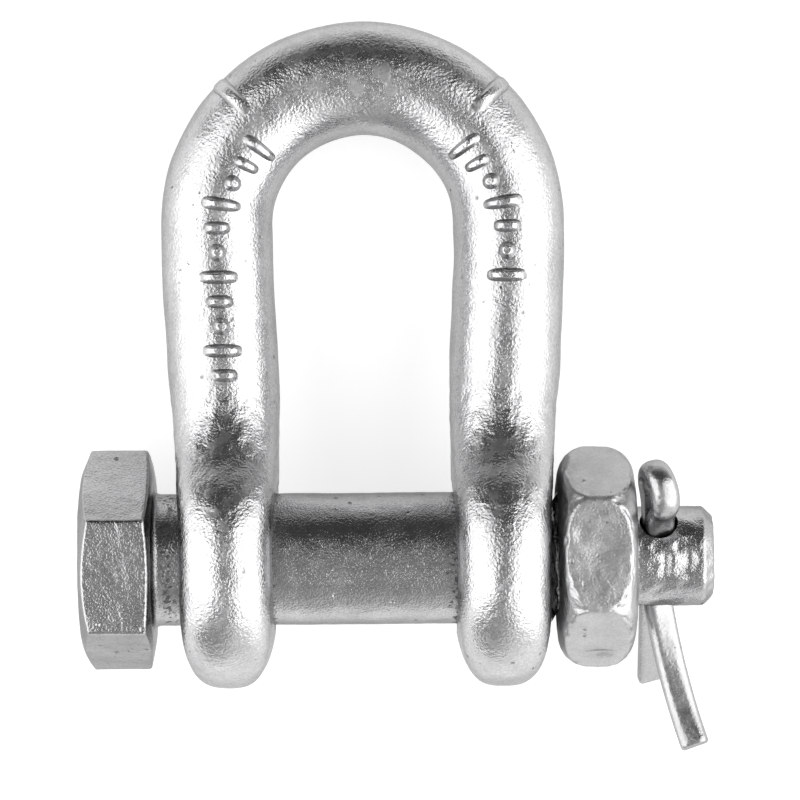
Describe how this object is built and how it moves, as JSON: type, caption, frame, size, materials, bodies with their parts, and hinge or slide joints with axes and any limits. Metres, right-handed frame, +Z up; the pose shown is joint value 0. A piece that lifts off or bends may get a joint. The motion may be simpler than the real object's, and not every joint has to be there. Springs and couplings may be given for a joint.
{
  "type": "bolt-type chain shackle",
  "caption": "Galvanised forged D-shaped chain shackle that joins chain to fittings, closed by a hex-headed bolt through its eyes, a thin hex nut and a bent split pin.",
  "frame": {"origin": "on the bolt's axis, midway between the two eyes of the bow", "axes": "+X along the bolt from its head to its nut, +Y from the bolt to the crown of the bow, level, +Z up from the surface that the shackle lies on"},
  "size_m": [0.0907, 0.106, 0.0372],
  "materials": {
    "bow_zinc": "hot-dip galvanised, satin with a fine orange peel",
    "bolt_zinc": "hot-dip galvanised, smoother and darker, with rub marks",
    "nut_zinc": "hot-dip galvanised, satin with pits",
    "cotter_zinc": "zinc plated drawn wire"
  },
  "bodies": {
    "bow": {"bow": "bow_zinc"},
    "bolt_set": {"bolt": "bolt_zinc", "nut": "nut_zinc", "cotter_pin": "cotter_zinc"}
  },
  "joints": [
    {"name": "bolt_spin", "type": "hinge", "parent": "bow", "child": "bolt_set", "pos_m": [0, 0, 0], "axis": [1, 0, 0], "continuous": true}
  ]
}
